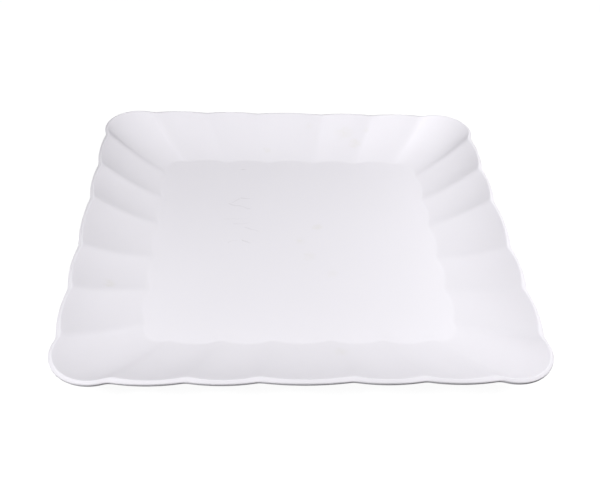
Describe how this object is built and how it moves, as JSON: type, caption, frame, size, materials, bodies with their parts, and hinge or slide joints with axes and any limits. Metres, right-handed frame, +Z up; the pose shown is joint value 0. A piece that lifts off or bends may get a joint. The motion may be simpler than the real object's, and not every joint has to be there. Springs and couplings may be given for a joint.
{
  "type": "square tray",
  "caption": "Square serving tray with a flat floor, a fluted sloping wall, a scalloped rim with a rolled lip, and a foot ring; carries food or cups.",
  "frame": {"origin": "on the table, under the middle of the tray", "axes": "+Z up out of the tray, +X and +Y square to two neighbouring sides; all four sides are alike"},
  "size_m": [0.3, 0.3, 0.023],
  "materials": {
    "moulding": "satin"
  },
  "bodies": {
    "root": {"tray": "moulding"}
  },
  "joints": []
}
